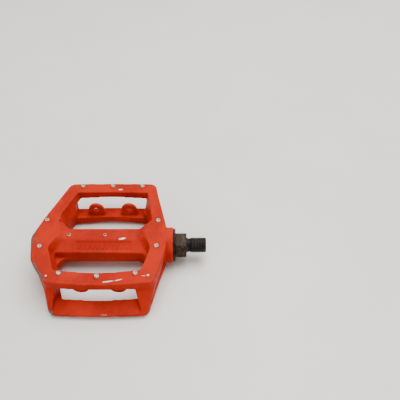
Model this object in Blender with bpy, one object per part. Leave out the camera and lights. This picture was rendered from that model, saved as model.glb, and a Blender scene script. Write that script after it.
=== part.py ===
"""Flat platform pedal: a cast cage with screwed-in traction pins turns on a steel spindle,
carried by two rings of loose balls that run between pressed-in cups and cones.

Lengths are in millimetres until a mesh is made, then in metres. X runs along the spindle,
from the dust cap to the crank thread, and Z points up. Cage places are measured from the
middle plane of the reflector lugs, which PEDAL_X puts in the world. The cage is the same
after half a turn about the spindle, so most of its features are made once and turned over.
"""
import math

import bmesh
import bpy
from mathutils import Matrix, Vector

MM = 0.001
PEDAL_X = -12.0
GAP = 0.3
FILLET_STEPS = 3

# Cage: half height, and the heights between which its front and rear faces lean
HALF_HEIGHT = 14.0
LEAN_START = 6.0
LEAN_END = 10.0
EDGE_CHAMFER = 0.7
OUTLINE_LEVELS = (14.0, 13.3, 10.0, 6.0, -6.0, -10.0, -13.3, -14.0)
RAIL_DIP = 1.3
RAIL_DIP_REACH = 33.0
RAIL_DIP_STEPS = 6

# Outline of the top face: x, y, corner radius. It starts at the outboard tip and runs
# along the front. Entry n and entry -n trade places when the cage is turned over.
TOP_OUTLINE = (
    (-58.4, -3.0, 12.0),
    (-53.5, -25.0, 12.0),
    (-38.5, -46.0, 6.0),
    (2.0, -48.6, 420.0),
    (42.6, -46.2, 5.0),
    (47.3, -27.0, 14.0),
    (50.5, -11.0, 4.0),
    (49.0, 10.6, 4.0),
    (43.6, 31.5, 60.0),
    (37.8, 58.0, 6.0),
    (0.0, 60.5, 400.0),
    (-37.3, 58.0, 6.0),
    (-52.3, 17.5, 14.0),
)
FRONT_ENTRIES = (1, 2, 3, 4, 5)
REAR_ENTRIES = (8, 9, 10, 11, 12)

# Wells either side of the barrel, as seen in the top face
REAR_WELL = (
    (-42.8, 12.0, 8.0),
    (38.2, 12.0, 5.0),
    (31.2, 47.2, 1.4),
    (0.0, 49.2, 200.0),
    (-29.8, 47.6, 1.4),
)
FRONT_WELL = (
    (-43.2, -11.2, 2.0),
    (-34.2, -34.7, 3.0),
    (0.0, -37.2, 200.0),
    (32.6, -34.4, 2.5),
    (38.4, -12.0, 5.0),
)
WELL_OVERLAP = 0.4
SIDE_DRAFT = 3.0
BARREL_DRAFT = 0.8

# Window between the upper and the lower front rail
WINDOW_HALF_HEIGHT = 6.0
WINDOW_INNER_Y = -33.0
WINDOW_FLARE_Y = -40.0
WINDOW_BEND_Y = -48.7
WINDOW_OUTER_Y = -64.0
WINDOW_SLOPE = 0.41
WINDOW_INNER_X = (-31.7, 27.9)
WINDOW_OUTER_TOP_X = (-33.0, 30.3)
WINDOW_OUTER_BOTTOM_X = (-36.5, 35.3)
WINDOW_RADII = (0.8, 2.2)

# Barrel over the spindle: its upper section as y, z, then where each point starts to rise
# towards the end blocks and where it reaches the top face
BARREL_SECTION = (
    (-16.0, 2.9, 38.0, 39.6),
    (-11.5, 5.3, 38.0, 39.6),
    (-2.6, 9.9, 30.0, 37.5),
    (0.0, 10.5, 29.0, 36.5),
    (3.0, 10.7, 28.0, 35.5),
    (6.0, 10.3, 28.0, 35.5),
    (9.0, 8.6, 28.0, 36.5),
    (12.0, 6.3, 28.0, 38.0),
    (16.0, 3.6, 28.0, 39.6),
)
SADDLE_MIDDLE = -2.5
SADDLE_START = 28.0
SADDLE_END = 40.0
SADDLE_STEPS = 8
SADDLE_TOP = 14.2
CLEAR_HEIGHT = 18.0
CLEAR_REACH = 70.0
PANEL_X = (-23.0, 22.0)
PANEL_WIDTH = 8.2
PANEL_DEPTH = 0.5
PANEL_CUT = 2.0

# Hollows in the outer side walls: wall line start and end, heights at both ends, depth.
# A floor and a mouth are these shares of the stated height.
POCKET_FLOOR = 0.8
POCKET_MOUTH = 1.15
INBOARD_POCKET = ((50.3, -15.5), (40.6, -52.0), (-8.6, 8.6), (-8.8, -4.6), 3.6)
OUTBOARD_POCKET = ((-57.4, -12.0), (-40.5, -49.0), (-8.0, 7.6), (-8.8, -4.0), 2.6)

# Reflector lugs
LUG_X = 14.4
LUG_Y = 40.2
LUG_RADIUS = 6.8
LUG_FOOT = 8.8
LUG_THICKNESS = 3.0
LUG_HOLE_RADIUS = 2.7
LUG_SIDES = 20
LUG_ROOT = -7.0
LUG_WAIST = -4.2
LUG_FLARE = 1.4

# Spindle bore
BOSS_ROOT = (44.0, 13.9)
BOSS_RADIUS = 14.5
BOSS_START = 50.5
BOSS_END = 55.5
BOSS_EDGE = 1.2
BOSS_EDGE_BREAK = 0.35
BORE_RADIUS = 6.2
ROUND_SIDES = 36

# Traction pins
PIN_RADIUS = 1.75
PIN_SIDES = 12
PIN_TOP = 15.4
PIN_LENGTH = 7.0
REAR_PIN_LENGTH = 5.0
PIN_EDGE = 0.35
SOCKET_RADIUS = 1.05
SOCKET_DEPTH = 1.4
BARREL_PIN_RADIUS = 1.4
BARREL_PIN_LENGTH = 3.8
BARREL_PIN_TOP = 11.8
RAIL_PIN_X = 28.7
FRONT_PIN_Y = -38.1
FRONT_PIN_BOW = -2.2
REAR_PIN_Y = 54.9
REAR_PIN_X = 26.2
REAR_PIN_BOW = 1.0
MIDDLE_PIN_DROP = 0.9
OUTER_PIN_SHIFT = 0.9
OUTBOARD_PIN = (-48.8, 13.7)
INBOARD_PIN = (42.7, 13.2)
BARREL_PIN_X = (-29.0, 0.0, 28.0)
BARREL_PIN_Y = 1.4
TURNED_NAMES = {"front_rail": "rear_rail", "rear_rail": "front_rail"}

# Bearings: one-eighth inch balls
BALL_RADIUS = 1.5875
BALL_COUNT = 12
BALL_CIRCLE = 6.6
RACE_GAP = 0.12
RACE_STEPS = 3
INBOARD_BALL_X = 48.8
OUTBOARD_BALL_X = -43.5
CUP_RADIUS = 9.9
CUP_INNER_RADIUS = 6.1
CUP_BACK = 3.5
CUP_FRONT = 3.5
CONE_TOP_RADIUS = 7.0

# Spindle
SHOULDER_RADIUS = 7.6
HEX_ACROSS_FLATS = 19.0
HEX_START = 56.8
HEX_END = 65.8
HEX_CORNER_ELEVATION = 47.5
HEX_EASE = 0.7
SHARP = 100.0
COLLAR_RADIUS = 6.6
NECK_RADIUS = 5.6
COLLAR_LENGTH = 1.2
THREAD_RADIUS = 6.35
THREAD_START = 68.8
THREAD_END = 82.0
THREAD_CHAMFER = 1.0
THREAD_RUN_OUT = 0.6
CENTRE_HOLE_RADIUS = 1.4
CENTRE_HOLE_TIP = 0.5
CENTRE_HOLE_DEPTH = 1.4
STUD_RADIUS = 3.9
STUD_END = -53.3
STUD_START = -40.0
STUD_EDGE = 0.6
STUD_STEP = 1.0
NUT_BORE_RADIUS = 4.2
WASHER_X = (-49.6, -48.8)
WASHER_RADIUS = 6.4
NUT_X = (-52.9, -49.9)
NUT_ACROSS_FLATS = 12.0
CONE_END = -48.5
CONE_NOSE = 0.8

# Dust cap and seal
DUST_CAP_X = (-55.8, -52.4)
DUST_CAP_FACE = 1.4
DUST_CAP_WALL = 1.2
DUST_CAP_EDGE = 0.5
KEY_SLOT_RADIUS = 3.2
KEY_DEPTH = 0.7
KEY_SLOPE = 0.4
KEY_CENTRE = 0.5
SEAL_X = (53.0, 55.8, 56.5)
SEAL_RADIUS = 13.6
SEAL_BORE = 8.0
SEAL_EDGE = 0.25

# Colour, metallic, roughness
RED_PAINT = ((0.62, 0.055, 0.022, 1.0), 0.0, 0.38)
PIN_STEEL = ((0.78, 0.72, 0.66, 1.0), 1.0, 0.35)
BLACK_STEEL = ((0.035, 0.03, 0.03, 1.0), 0.7, 0.5)
RACE_STEEL = ((0.55, 0.55, 0.57, 1.0), 1.0, 0.25)
BALL_STEEL = ((0.8, 0.8, 0.82, 1.0), 1.0, 0.08)
BLACK_RUBBER = ((0.02, 0.02, 0.02, 1.0), 0.0, 0.7)
BLACK_PLASTIC = ((0.03, 0.03, 0.03, 1.0), 0.0, 0.45)


def clear_scene():
    """Start from an empty scene."""
    for old in list(bpy.data.objects):
        bpy.data.objects.remove(old, do_unlink=True)


def material(name, look):
    """A plain material from a colour, a metallic value and a roughness."""
    colour, metallic, roughness = look
    made = bpy.data.materials.new(name)
    made.use_nodes = True
    shader = made.node_tree.nodes["Principled BSDF"]
    shader.inputs["Base Color"].default_value = colour
    shader.inputs["Metallic"].default_value = metallic
    shader.inputs["Roughness"].default_value = roughness
    return made


def rounded(corners, steps=FILLET_STEPS):
    """Closed outline through corners (u, v, radius), with an arc at each corner."""
    outline = []
    for index, (u, v, radius) in enumerate(corners):
        corner = Vector((u, v))
        to_last = (Vector(corners[index - 1][:2]) - corner).normalized()
        to_next = (Vector(corners[(index + 1) % len(corners)][:2]) - corner).normalized()
        half = to_last.angle(to_next) / 2
        reach = radius / math.tan(half)
        centre = corner + (to_last + to_next).normalized() * (radius / math.sin(half))
        first = corner + to_last * reach - centre
        last = corner + to_next * reach - centre
        turn = first.angle(last)
        for step in range(steps + 1):
            part_way = step / steps
            swung = first * math.sin((1 - part_way) * turn) + last * math.sin(part_way * turn)
            outline.append(tuple(centre + swung / math.sin(turn)))
    return outline


def loft(loops):
    """Points and faces of a closed body through loops that have the same number of points."""
    count = len(loops[0])
    points = [point for loop in loops for point in loop]
    faces = [tuple(range(count)), tuple(range(len(points) - count, len(points)))]
    for level in range(len(loops) - 1):
        for here in range(count):
            after = (here + 1) % count
            low = level * count
            high = low + count
            faces.append((low + here, low + after, high + after, high + here))
    return points, faces


def circle_round(u, v, radius, sides):
    """Points of a circle round a middle."""
    angles = [2 * math.pi * side / sides for side in range(sides)]
    return [(u + radius * math.cos(angle), v + radius * math.sin(angle)) for angle in angles]


def prism(outline, low, high):
    """An upright body over an outline in x and y."""
    return loft([[(x, y, z) for x, y in outline] for z in (low, high)])


def spoke(x, radius, angle):
    """The point at a place along X, a radius out and an angle round."""
    reach = radius(angle) if callable(radius) else radius
    return x, reach * math.cos(angle), reach * math.sin(angle)


def ring(profile, sides=ROUND_SIDES):
    """A body turned about X from a closed profile of (x, radius) that stays off the axis.

    A radius may be a function of the angle about X."""
    points = []
    faces = []
    count = len(profile)
    for side in range(sides):
        angle = 2 * math.pi * side / sides
        for x, radius in profile:
            points.append(spoke(x, radius, angle))
    for side in range(sides):
        here = side * count
        after = (side + 1) % sides * count
        for index in range(count):
            following = (index + 1) % count
            faces.append((here + index, here + following, after + following, after + index))
    return points, faces


def turned_over(shape):
    """The same body after half a turn about the spindle axis."""
    points, faces = shape
    return [(x, -y, -z) for x, y, z in points], faces


def moved(shape, offset):
    """The same body at another place."""
    points, faces = shape
    return [tuple(Vector(point) + Vector(offset)) for point in points], faces


def add_object(name, shapes, parent, look=None, split_angle=35.0):
    """An object from one or more closed bodies, given in millimetres."""
    bm = bmesh.new()
    for points, faces in shapes:
        made = [bm.verts.new(Vector(point) * MM) for point in points]
        for face in faces:
            bm.faces.new([made[index] for index in face])
    bmesh.ops.recalc_face_normals(bm, faces=bm.faces)
    bent = [face for face in bm.faces if len(face.verts) == 4]
    bmesh.ops.connect_verts_nonplanar(bm, angle_limit=math.radians(0.05), faces=bent)
    mesh = bpy.data.meshes.new(name)
    bm.to_mesh(mesh)
    bm.free()
    mesh.shade_smooth()
    mesh.set_sharp_from_angle(angle=math.radians(split_angle))
    made_object = bpy.data.objects.new(name, mesh)
    bpy.context.scene.collection.objects.link(made_object)
    made_object.parent = parent
    if look:
        mesh.materials.append(look)
    return made_object


def combine(target, name, shapes, operation):
    """Add shapes to the target or cut them out of it, with a hidden helper object."""
    helper = add_object(name, shapes, target.parent)
    helper.hide_render = True
    helper.display_type = 'WIRE'
    modifier = target.modifiers.new(name, 'BOOLEAN')
    modifier.operation = operation
    modifier.object = helper
    modifier.solver = 'EXACT'


def share(value, low, high):
    """How far value has come from low to high, kept between 0 and 1."""
    return min(max((value - low) / (high - low), 0.0), 1.0)


def mix(first, last, part_way):
    """The value part of the way from first to last."""
    return first + (last - first) * part_way


def outline_at(height):
    """The cage's outline at a height: the top outline turning into the turned-over one."""
    corners = []
    inset = EDGE_CHAMFER if abs(height) == HALF_HEIGHT else 0.0
    for index, (x, y, radius) in enumerate(TOP_OUTLINE):
        twin_x, twin_y, twin_radius = TOP_OUTLINE[-index]
        low = -HALF_HEIGHT
        high = HALF_HEIGHT
        if index in FRONT_ENTRIES:
            low, high = -LEAN_END, LEAN_START
        if index in REAR_ENTRIES:
            low, high = -LEAN_START, LEAN_END
        top = share(height, low, high)
        blend_x = mix(twin_x, x, top)
        blend_y = mix(-twin_y, y, top)
        blend_radius = mix(twin_radius, radius, top)
        pull = 1 - inset / math.hypot(blend_x, blend_y)
        corners.append((blend_x * pull, blend_y * pull, blend_radius))
    return rounded(corners)


def cage_blank():
    """The cage's outer shape, before anything is cut from it."""
    return loft([[(x, y, height) for x, y in outline_at(height)] for height in OUTLINE_LEVELS])


def rail_dip():
    """What is cut off the top face so that the rails' middles lie a little lower."""
    radius = (RAIL_DIP_REACH ** 2 + RAIL_DIP ** 2) / (2 * RAIL_DIP)
    centre = HALF_HEIGHT + math.sqrt(radius ** 2 - RAIL_DIP_REACH ** 2)
    section = []
    for step in range(-RAIL_DIP_STEPS, RAIL_DIP_STEPS + 1):
        x = RAIL_DIP_REACH * step / RAIL_DIP_STEPS
        section.append((x, centre - math.sqrt(radius ** 2 - x ** 2)))
    section += [(RAIL_DIP_REACH, CLEAR_HEIGHT), (-RAIL_DIP_REACH, CLEAR_HEIGHT)]
    return loft([[(x, y, z) for x, z in section] for y in (-CLEAR_REACH, CLEAR_REACH)])


def saddle():
    """What is cut off above the barrel, with ends that slope up to the end blocks."""
    spacing = (SADDLE_END - SADDLE_START) / SADDLE_STEPS
    rising = [SADDLE_START + spacing * step for step in range(SADDLE_STEPS + 1)]
    stations = [SADDLE_MIDDLE - reach for reach in reversed(rising)]
    stations += [SADDLE_MIDDLE + reach for reach in rising]
    loops = []
    for x in stations:
        loop = []
        for y, z, start, end in BARREL_SECTION:
            rise = share(abs(x - SADDLE_MIDDLE), start, end)
            rise = rise * rise * (3 - 2 * rise)
            loop.append((x, y, mix(z, SADDLE_TOP, rise)))
        loop.append((x, BARREL_SECTION[-1][0], CLEAR_HEIGHT))
        loop.append((x, BARREL_SECTION[0][0], CLEAR_HEIGHT))
        loops.append(loop)
    return loft(loops)


def drafted(well):
    """A well's outline at mid height, where the side walls and the barrel are thicker."""
    corners = []
    for x, y, radius in well:
        side = math.copysign(SIDE_DRAFT, x) if x else 0.0
        at_barrel = math.copysign(BARREL_DRAFT, y) if abs(y) < LUG_Y / 2 else 0.0
        corners.append((x - side, y + at_barrel, radius))
    return corners


def upper_well(well):
    """The upper half of a well, narrowing towards mid height."""
    top = rounded(well)
    waist = rounded(drafted(well))
    levels = ((waist, -WELL_OVERLAP), (top, HALF_HEIGHT), (top, CLEAR_HEIGHT))
    return loft([[(x, y, z) for x, y in outline] for outline, z in levels])


def window():
    """The opening between the front rails, wider towards the outside."""
    loops = []
    for y in (WINDOW_INNER_Y, WINDOW_FLARE_Y, WINDOW_BEND_Y, WINDOW_OUTER_Y):
        flare = share(y, WINDOW_FLARE_Y, WINDOW_OUTER_Y)
        floor = -WINDOW_HALF_HEIGHT - WINDOW_SLOPE * max(WINDOW_BEND_Y - y, 0.0)
        radius = mix(*WINDOW_RADII, flare)
        top_x = [mix(*pair, flare) for pair in zip(WINDOW_INNER_X, WINDOW_OUTER_TOP_X)]
        bottom_x = [mix(*pair, flare) for pair in zip(WINDOW_INNER_X, WINDOW_OUTER_BOTTOM_X)]
        section = rounded((
            (bottom_x[0], floor, radius),
            (bottom_x[1], floor, radius),
            (top_x[1], WINDOW_HALF_HEIGHT, radius),
            (top_x[0], WINDOW_HALF_HEIGHT, radius),
        ))
        loops.append([(x, y, z) for x, z in section])
    return loft(loops)


def side_pocket(start, end, start_heights, end_heights, depth):
    """The hollow in an outer side wall, between its upper and lower flange."""
    along = Vector(end) - Vector(start)
    outward = Vector((-along.y, along.x)).normalized()
    if outward.x * start[0] < 0:
        outward.negate()
    loops = []
    for reach, shrink in ((-depth, POCKET_FLOOR), (depth, POCKET_MOUTH)):
        loop = []
        for corner, heights in ((start, start_heights), (end, end_heights)):
            middle = sum(heights) / 2
            half = (heights[1] - heights[0]) / 2 * shrink
            x, y = Vector(corner) + outward * reach
            loop.append(((x, y, middle - half), (x, y, middle + half)))
        loops.append([loop[0][0], loop[0][1], loop[1][1], loop[1][0]])
    return loft(loops)


def barrel_panel():
    """A shallow plain panel let into the barrel's front slope."""
    (front_y, front_z), (ridge_y, ridge_z) = BARREL_SECTION[1][:2], BARREL_SECTION[2][:2]
    slope = Vector((ridge_y - front_y, ridge_z - front_z)).normalized()
    upward = Vector((-slope.y, slope.x))
    middle = Vector((front_y + ridge_y, front_z + ridge_z)) / 2
    section = []
    for across, out in ((-1, -PANEL_DEPTH), (1, -PANEL_DEPTH), (1, PANEL_CUT), (-1, PANEL_CUT)):
        section.append(middle + slope * across * PANEL_WIDTH / 2 + upward * out)
    return loft([[(x, y, z) for y, z in section] for x in PANEL_X])


def lug(side):
    """A round-topped reflector lug that stands up from the lower rear rail."""
    outline = [(LUG_FOOT, LUG_ROOT), (LUG_FOOT - LUG_FLARE, LUG_WAIST)]
    for step in range(LUG_SIDES // 2 + 1):
        angle = 2 * math.pi * step / LUG_SIDES
        outline.append((LUG_RADIUS * math.cos(angle), LUG_RADIUS * math.sin(angle)))
    outline += [(LUG_FLARE - LUG_FOOT, LUG_WAIST), (-LUG_FOOT, LUG_ROOT)]
    front = LUG_Y - LUG_THICKNESS / 2
    back = front + LUG_THICKNESS
    return loft([[(side * LUG_X + x, y, z) for x, z in outline] for y in (front, back)])


def lug_hole(side):
    """The screw hole through a lug."""
    circle = circle_round(side * LUG_X, 0.0, LUG_HOLE_RADIUS, LUG_SIDES)
    return loft([[(x, y, z) for x, z in circle] for y in (LUG_Y - LUG_THICKNESS, LUG_Y + LUG_THICKNESS)])


def turned(profile, sides=ROUND_SIDES):
    """A body turned about X from (x, radius) points, closed by flat ends.

    A radius may be a function of the angle about X."""
    angles = [2 * math.pi * side / sides for side in range(sides)]
    return loft([[spoke(x, radius, angle) for angle in angles] for x, radius in profile])


def hexagon(across_flats, corner, limit):
    """The radius of a hexagon at an angle, cut back to a largest radius."""
    def radius(angle):
        from_flat = (angle - corner) % (math.pi / 3) - math.pi / 6
        return min(across_flats / 2 / math.cos(from_flat), limit)
    return radius


def race(ball_x, first, last):
    """Points of a bearing race round a ball, between two angles in degrees."""
    points = []
    reach = BALL_RADIUS + RACE_GAP
    for step in range(RACE_STEPS + 1):
        angle = math.radians(first + (last - first) * step / RACE_STEPS)
        points.append((ball_x + reach * math.cos(angle), BALL_CIRCLE + reach * math.sin(angle)))
    return points


def cup(ball_x, facing):
    """A pressed-in bearing cup that opens towards +X or -X."""
    back = ball_x - facing * CUP_BACK
    front = ball_x + facing * CUP_FRONT
    mouth = BALL_CIRCLE + BALL_RADIUS + RACE_GAP
    sweep = race(ball_x, 180.0, 90.0) if facing > 0 else race(ball_x, 0.0, 90.0)
    return ring([(back, CUP_RADIUS), (back, CUP_INNER_RADIUS), (sweep[0][0], CUP_INNER_RADIUS)]
                + sweep + [(front, mouth), (front, CUP_RADIUS)])


def bore():
    """The spindle bore through the cage, with a wider seat for the cup at each end."""
    seat = CUP_RADIUS + GAP
    inboard_seat = INBOARD_BALL_X - CUP_BACK - GAP
    outboard_seat = OUTBOARD_BALL_X + CUP_BACK + GAP
    return turned([(-CLEAR_REACH, seat), (outboard_seat, seat), (outboard_seat, BORE_RADIUS),
                   (inboard_seat, BORE_RADIUS), (inboard_seat, seat), (CLEAR_REACH, seat)])


def boss():
    """The round boss that carries the inboard bearing, a little thicker than the block behind it."""
    return turned([BOSS_ROOT, (BOSS_START, BOSS_RADIUS), (BOSS_END - BOSS_EDGE, BOSS_RADIUS),
                   (BOSS_END - BOSS_EDGE_BREAK, BOSS_RADIUS - BOSS_EDGE_BREAK),
                   (BOSS_END, BOSS_RADIUS - BOSS_EDGE)])


def spindle():
    """The spindle: bearing stud, shaft, integral cone, hexagon, neck and crank thread."""
    cone = race(INBOARD_BALL_X, -90.0, 0.0)
    corner = math.pi - math.radians(HEX_CORNER_ELEVATION)
    full = hexagon(HEX_ACROSS_FLATS, corner, SHARP)
    eased = hexagon(HEX_ACROSS_FLATS, corner, HEX_ACROSS_FLATS / 2 + HEX_EASE)
    stud = [(STUD_END + CENTRE_HOLE_DEPTH, CENTRE_HOLE_TIP), (STUD_END, CENTRE_HOLE_RADIUS),
            (STUD_END, STUD_RADIUS - STUD_EDGE), (STUD_END + STUD_EDGE, STUD_RADIUS),
            (STUD_START, STUD_RADIUS), (STUD_START + STUD_STEP, cone[0][1])]
    spanner_seat = [(cone[-1][0], SHOULDER_RADIUS), (HEX_START, SHOULDER_RADIUS),
                    (HEX_START, eased), (HEX_START + HEX_EASE, full),
                    (HEX_END - HEX_EASE, full), (HEX_END, eased)]
    crank_end = [(HEX_END, COLLAR_RADIUS), (HEX_END + COLLAR_LENGTH, NECK_RADIUS),
                 (THREAD_START - THREAD_RUN_OUT, NECK_RADIUS), (THREAD_START, THREAD_RADIUS),
                 (THREAD_END - THREAD_CHAMFER, THREAD_RADIUS),
                 (THREAD_END, THREAD_RADIUS - THREAD_CHAMFER), (THREAD_END, CENTRE_HOLE_RADIUS),
                 (THREAD_END - CENTRE_HOLE_DEPTH, CENTRE_HOLE_TIP)]
    return turned(stud + cone + spanner_seat + crank_end)


def adjusting_cone():
    """The outboard cone, which screws along the stud to set the bearing play."""
    sweep = race(OUTBOARD_BALL_X, -90.0, -180.0)
    nose = OUTBOARD_BALL_X + CONE_NOSE
    return ring([(nose, NUT_BORE_RADIUS), (nose, sweep[0][1])] + sweep
                + [(sweep[-1][0], CONE_TOP_RADIUS), (CONE_END, CONE_TOP_RADIUS),
                   (CONE_END, NUT_BORE_RADIUS)])


def keyed_washer():
    """The thin washer between cone and lock nut."""
    low, high = WASHER_X
    return ring([(low, NUT_BORE_RADIUS), (high, NUT_BORE_RADIUS), (high, WASHER_RADIUS),
                 (low, WASHER_RADIUS)])


def lock_nut():
    """The hexagon nut that locks the cone: six-sided outside, round inside."""
    low, high = NUT_X
    outside = hexagon(NUT_ACROSS_FLATS, 0.0, SHARP)
    return ring([(low, NUT_BORE_RADIUS), (high, NUT_BORE_RADIUS), (high, outside), (low, outside)])


def dust_cap():
    """The screw-in cap over the outboard bearing, hollow inside, with a round key recess."""
    outer, inner = DUST_CAP_X
    hollow = CUP_RADIUS - DUST_CAP_WALL
    recess = outer + KEY_DEPTH
    back = outer + DUST_CAP_FACE
    return turned([(recess, KEY_CENTRE), (recess, KEY_SLOT_RADIUS), (outer, KEY_SLOT_RADIUS + KEY_SLOPE),
                   (outer, CUP_RADIUS - DUST_CAP_EDGE), (outer + DUST_CAP_EDGE, CUP_RADIUS),
                   (inner, CUP_RADIUS), (inner, hollow), (back, hollow), (back, KEY_CENTRE)])


def inboard_seal():
    """The seal ring between the boss and the hexagon, with a lip inside the boss."""
    lip, face, outer = SEAL_X
    return ring([(lip, SEAL_BORE), (lip, CUP_RADIUS), (face, CUP_RADIUS), (face, SEAL_RADIUS),
                 (outer - SEAL_EDGE, SEAL_RADIUS), (outer, SEAL_RADIUS - SEAL_EDGE), (outer, SEAL_BORE)])


def traction_pin(radius, length):
    """A grub screw seen from its tip end: round, eased edge, hexagon socket. Top at z = 0."""
    socket = hexagon(2 * SOCKET_RADIUS * math.cos(math.pi / 6), 0.0, radius)
    levels = ((-length, radius), (-PIN_EDGE, radius), (0.0, radius - PIN_EDGE),
              (0.0, socket), (-SOCKET_DEPTH, socket))
    loops = []
    for z, out in levels:
        spokes = [spoke(z, out, 2 * math.pi * side / PIN_SIDES) for side in range(PIN_SIDES)]
        loops.append([(x, y, height) for height, x, y in spokes])
    return loft(loops)


def pin_places():
    """Name, x, y, z of the tip, radius and length of each pin in the top face."""
    places = []
    rails = (("front_rail", RAIL_PIN_X, FRONT_PIN_Y, FRONT_PIN_BOW, PIN_LENGTH),
             ("rear_rail", REAR_PIN_X, REAR_PIN_Y, REAR_PIN_BOW, REAR_PIN_LENGTH))
    for name, reach, y, bow, length in rails:
        for number, (x, middle) in enumerate(((-reach, 0), (0.0, 1), (reach, 0)), 1):
            top = PIN_TOP - MIDDLE_PIN_DROP * middle
            places.append((f"{name}_{number}", x, y + bow * middle, top, PIN_RADIUS, length))
    for number, x in enumerate(BARREL_PIN_X, 1):
        places.append((f"barrel_{number}", x, BARREL_PIN_Y, BARREL_PIN_TOP, BARREL_PIN_RADIUS,
                       BARREL_PIN_LENGTH))
    for number, side in enumerate((-1, 1), 1):
        for name, (x, y) in (("outboard", OUTBOARD_PIN), ("inboard", INBOARD_PIN)):
            y = side * y + OUTER_PIN_SHIFT
            places.append((f"{name}_{number}", x, y, PIN_TOP, PIN_RADIUS, PIN_LENGTH))
    return places


def pin_hole(place):
    """The blind hole that takes a pin."""
    _name, x, y, top, radius, length = place
    return prism(circle_round(x, y, radius + GAP, PIN_SIDES), top - length - GAP, CLEAR_HEIGHT)


def make_cage(parent, look):
    """The cast cage: blank, then openings, then boss and lugs, then bore and holes."""
    cage = add_object("pedal_cage", [cage_blank()], parent, look)
    upper_wells = [upper_well(well) for well in (REAR_WELL, FRONT_WELL)]
    pockets = [side_pocket(*INBOARD_POCKET), side_pocket(*OUTBOARD_POCKET)]
    dips = [rail_dip(), turned_over(rail_dip())]
    combine(cage, "dip_cutter", dips, 'DIFFERENCE')
    combine(cage, "saddle_cutter", [saddle(), turned_over(saddle())], 'DIFFERENCE')
    combine(cage, "upper_well_cutter", upper_wells, 'DIFFERENCE')
    combine(cage, "lower_well_cutter", [turned_over(well) for well in upper_wells], 'DIFFERENCE')
    combine(cage, "window_cutter", [window(), turned_over(window())], 'DIFFERENCE')
    combine(cage, "pocket_cutter", pockets + [turned_over(pocket) for pocket in pockets], 'DIFFERENCE')
    combine(cage, "panel_cutter", [barrel_panel(), turned_over(barrel_panel())], 'DIFFERENCE')
    combine(cage, "boss_blank", [boss()], 'UNION')
    lugs = [lug(-1), lug(1)]
    combine(cage, "lug_blanks", lugs + [turned_over(piece) for piece in lugs], 'UNION')
    combine(cage, "bore_cutter", [bore()], 'DIFFERENCE')
    holes = [pin_hole(place) for place in pin_places()]
    combine(cage, "pin_hole_cutter", holes + [turned_over(hole) for hole in holes], 'DIFFERENCE')
    lug_holes = [lug_hole(-1), lug_hole(1)]
    combine(cage, "lug_hole_cutter", lug_holes + [turned_over(hole) for hole in lug_holes], 'DIFFERENCE')
    return cage


def make_pins(parent, look):
    """A pin in each place of the top face and of the bottom face.

    Turned over, a front rail pin stands in the rear rail, and the other way round."""
    for name, x, y, top, radius, length in pin_places():
        shape = moved(traction_pin(radius, length), (x, y, top))
        group, number = name[:-2], name[-2:]
        group_below = TURNED_NAMES.get(group, group)
        add_object(f"pin_top_{name}", [shape], parent, look)
        add_object(f"pin_bottom_{group_below}{number}", [turned_over(shape)], parent, look)


def make_balls(prefix, ball_x, parent, look):
    """One ring of loose balls."""
    for number in range(BALL_COUNT):
        bm = bmesh.new()
        bmesh.ops.create_icosphere(bm, subdivisions=2, radius=BALL_RADIUS * MM)
        angle = 2 * math.pi * number / BALL_COUNT
        centre = Vector((ball_x, BALL_CIRCLE * math.cos(angle), BALL_CIRCLE * math.sin(angle))) * MM
        bmesh.ops.transform(bm, matrix=Matrix.Translation(centre), verts=bm.verts)
        mesh = bpy.data.meshes.new(f"{prefix}_{number + 1:02d}")
        bm.to_mesh(mesh)
        bm.free()
        mesh.shade_smooth()
        mesh.materials.append(look)
        ball = bpy.data.objects.new(mesh.name, mesh)
        bpy.context.scene.collection.objects.link(ball)
        ball.parent = parent


def build():
    """Make the whole pedal."""
    clear_scene()
    axis = bpy.data.objects.new("spindle_axis", None)
    bpy.context.scene.collection.objects.link(axis)
    axis.location = (PEDAL_X * MM, 0.0, 0.0)
    paint = material("red_paint", RED_PAINT)
    pin_steel = material("pin_steel", PIN_STEEL)
    black_steel = material("black_steel", BLACK_STEEL)
    race_steel = material("race_steel", RACE_STEEL)
    ball_steel = material("ball_steel", BALL_STEEL)
    make_cage(axis, paint)
    make_pins(axis, pin_steel)
    add_object("spindle", [spindle()], axis, black_steel)
    add_object("inboard_cup", [cup(INBOARD_BALL_X, 1)], axis, race_steel)
    add_object("outboard_cup", [cup(OUTBOARD_BALL_X, -1)], axis, race_steel)
    make_balls("inboard_ball", INBOARD_BALL_X, axis, ball_steel)
    make_balls("outboard_ball", OUTBOARD_BALL_X, axis, ball_steel)
    add_object("adjusting_cone", [adjusting_cone()], axis, race_steel)
    add_object("keyed_washer", [keyed_washer()], axis, race_steel)
    add_object("lock_nut", [lock_nut()], axis, race_steel)
    add_object("dust_cap", [dust_cap()], axis, material("black_plastic", BLACK_PLASTIC))
    add_object("inboard_seal", [inboard_seal()], axis, material("black_rubber", BLACK_RUBBER))


build()
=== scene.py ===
"""Looks of the flat pedal: a painted casting with softened edges and chipped paint, real
grub screws for pins, and a spindle with a cut crank thread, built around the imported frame.

Shape functions work in millimetres in the cage's own frame, where X is measured from the
middle plane of the reflector lugs. PEDAL_X puts that plane into the row frame.
"""
import math

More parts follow.
